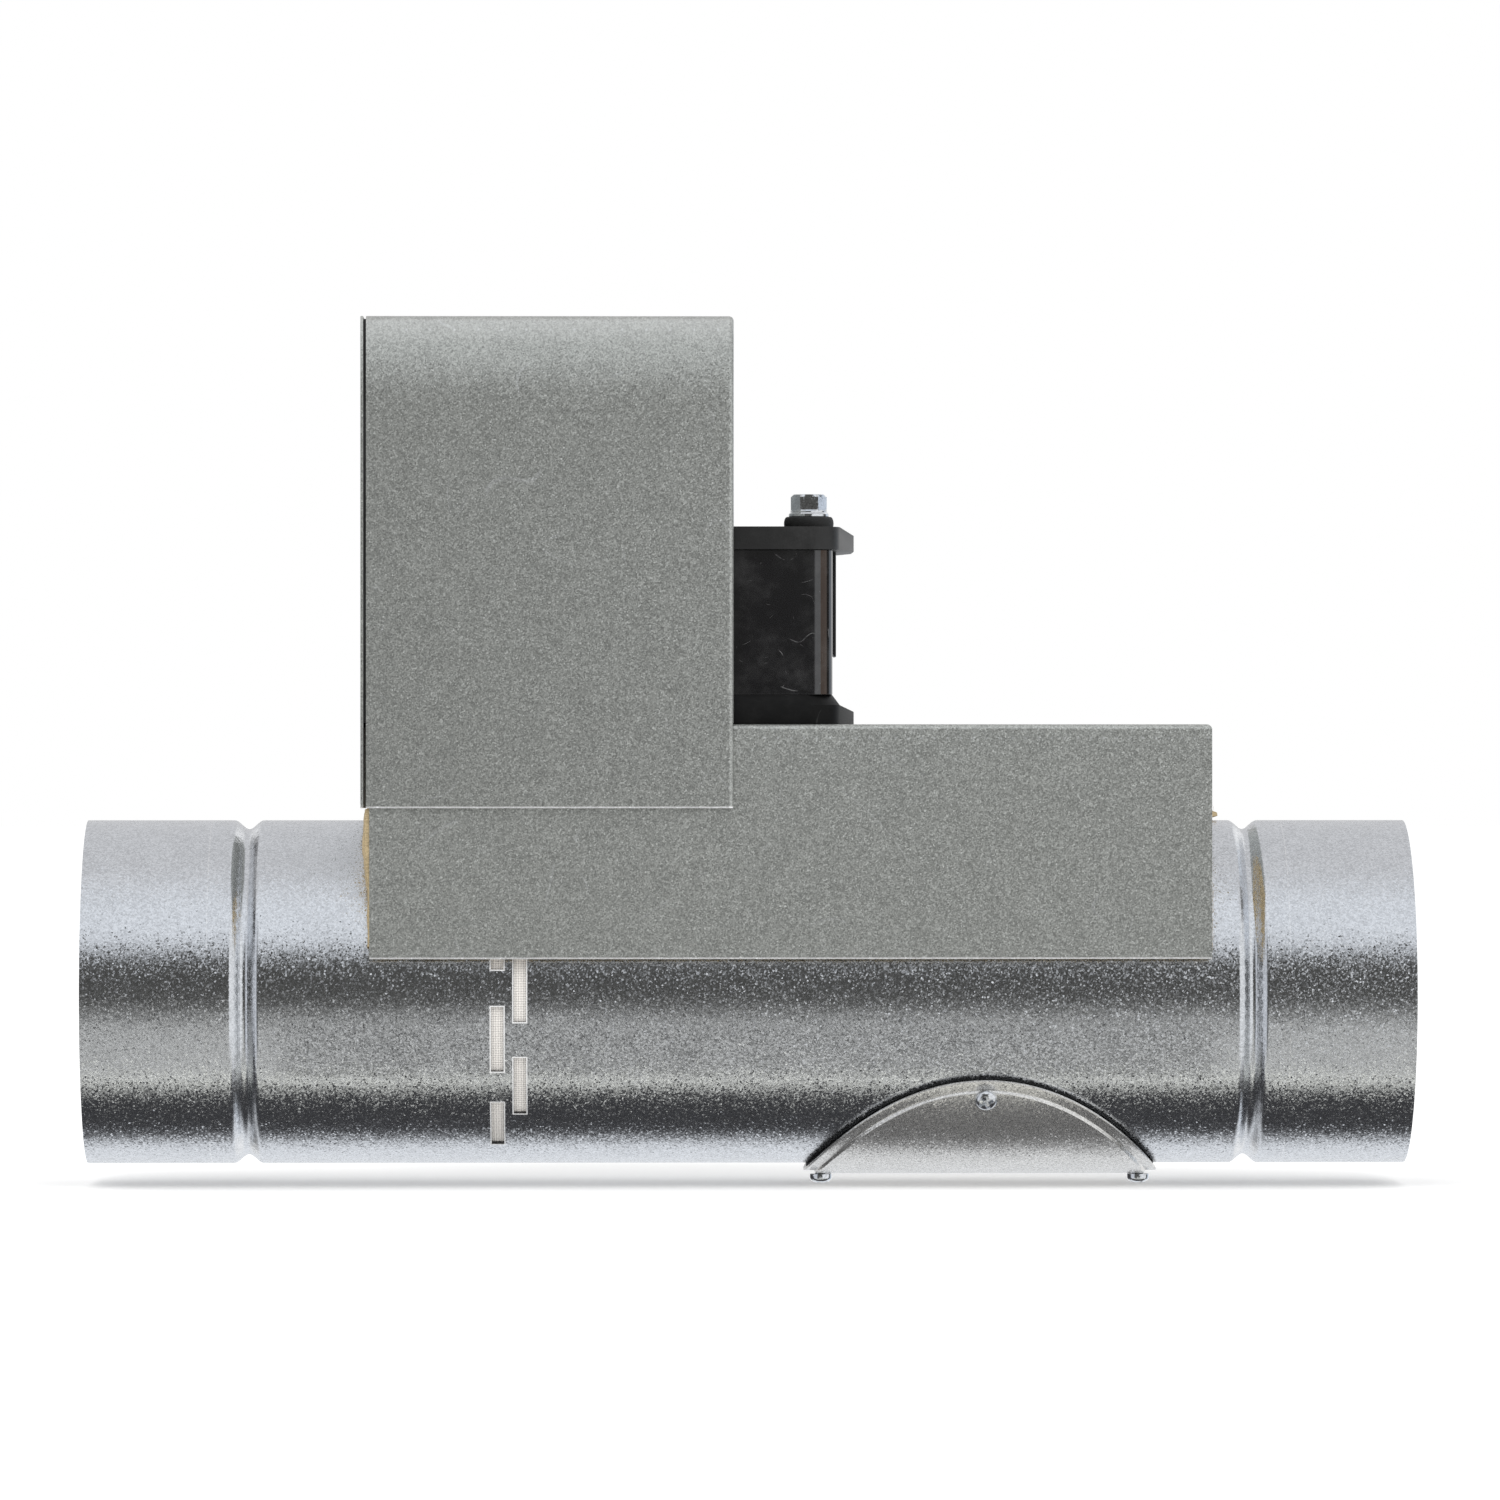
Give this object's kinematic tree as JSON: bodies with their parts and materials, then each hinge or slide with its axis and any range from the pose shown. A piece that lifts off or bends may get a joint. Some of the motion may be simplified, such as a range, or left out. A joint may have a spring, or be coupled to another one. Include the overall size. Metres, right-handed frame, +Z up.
{
  "type": "fire damper",
  "caption": "Round duct fire damper with beaded spigots, slotted thermal break, turning blade, insulated top housing, drive under a folded cover and an oval inspection cover.",
  "frame": {"origin": "centre of the left spigot's open end, on the duct's axis", "axes": "+X along the duct from the left spigot to the right one, +Z up through the drive, pictured side faces -Y"},
  "size_m": [0.38, 0.1082, 0.2481],
  "materials": {
    "duct_zinc": "bright galvanised sheet, fine grain",
    "sheet_zinc": "dull galvanised sheet, fine grain",
    "cover_zinc": "galvanised sheet",
    "glass_cloth": "woven glass cloth",
    "intumescent": "matt graphite strip",
    "bush_brass": "turned",
    "gasket_rubber": "cellular rubber",
    "washer_rubber": "smooth rubber",
    "grommet_rubber": "moulded rubber",
    "seal_rubber": "moulded rubber",
    "zinc_screws": "bright zinc plated",
    "mineral_wool": "fibrous",
    "drive_plastic": "moulded, matt",
    "drive_gloss": "glossy, lightly scratched",
    "scale_plastic": "printed scale",
    "terminal_plastic": "moulded",
    "blade_board": "fibre silicate board",
    "shaft_steel": "zinc plated bar",
    "hub_metal": "sintered metal",
    "pointer_plastic": "moulded"
  },
  "bodies": {
    "casing": {"duct_body": "duct_zinc", "glass_cloth": "glass_cloth", "intumescent_strips": "intumescent", "upper_bush": "bush_brass", "pivot_cup": "bush_brass", "inspection_gasket": "gasket_rubber", "inspection_cover": "cover_zinc", "inspection_screws": "zinc_screws", "low_housing": "sheet_zinc", "saddle_brackets": "sheet_zinc", "mineral_wool": "mineral_wool", "drive_base": "drive_plastic", "drive_body": "drive_gloss", "drive_lid": "drive_plastic", "drive_clip": "drive_plastic", "drive_screw": "zinc_screws", "drive_screw_washer": "washer_rubber", "position_scale": "scale_plastic", "drive_cover": "sheet_zinc", "end_plate": "sheet_zinc", "cover_gasket": "gasket_rubber", "cover_screws": "zinc_screws", "cable_grommets": "grommet_rubber", "terminal_block": "terminal_plastic", "terminal_screws": "zinc_screws"},
    "blade": {"blade_board": "blade_board", "blade_seal": "seal_rubber", "blade_straps": "shaft_steel", "blade_shaft": "shaft_steel", "cross_screws": "zinc_screws", "cross_nuts": "zinc_screws", "drive_hub": "hub_metal", "position_pointer": "pointer_plastic", "hub_clamp": "hub_metal", "u_bolt": "shaft_steel", "clamp_nuts": "zinc_screws"}
  },
  "joints": [
    {"name": "blade_turn", "type": "hinge", "parent": "casing", "child": "blade", "pos_m": [0.1217, 0, 0], "axis": [0, 0, 1], "range_deg": [0, 90]}
  ]
}
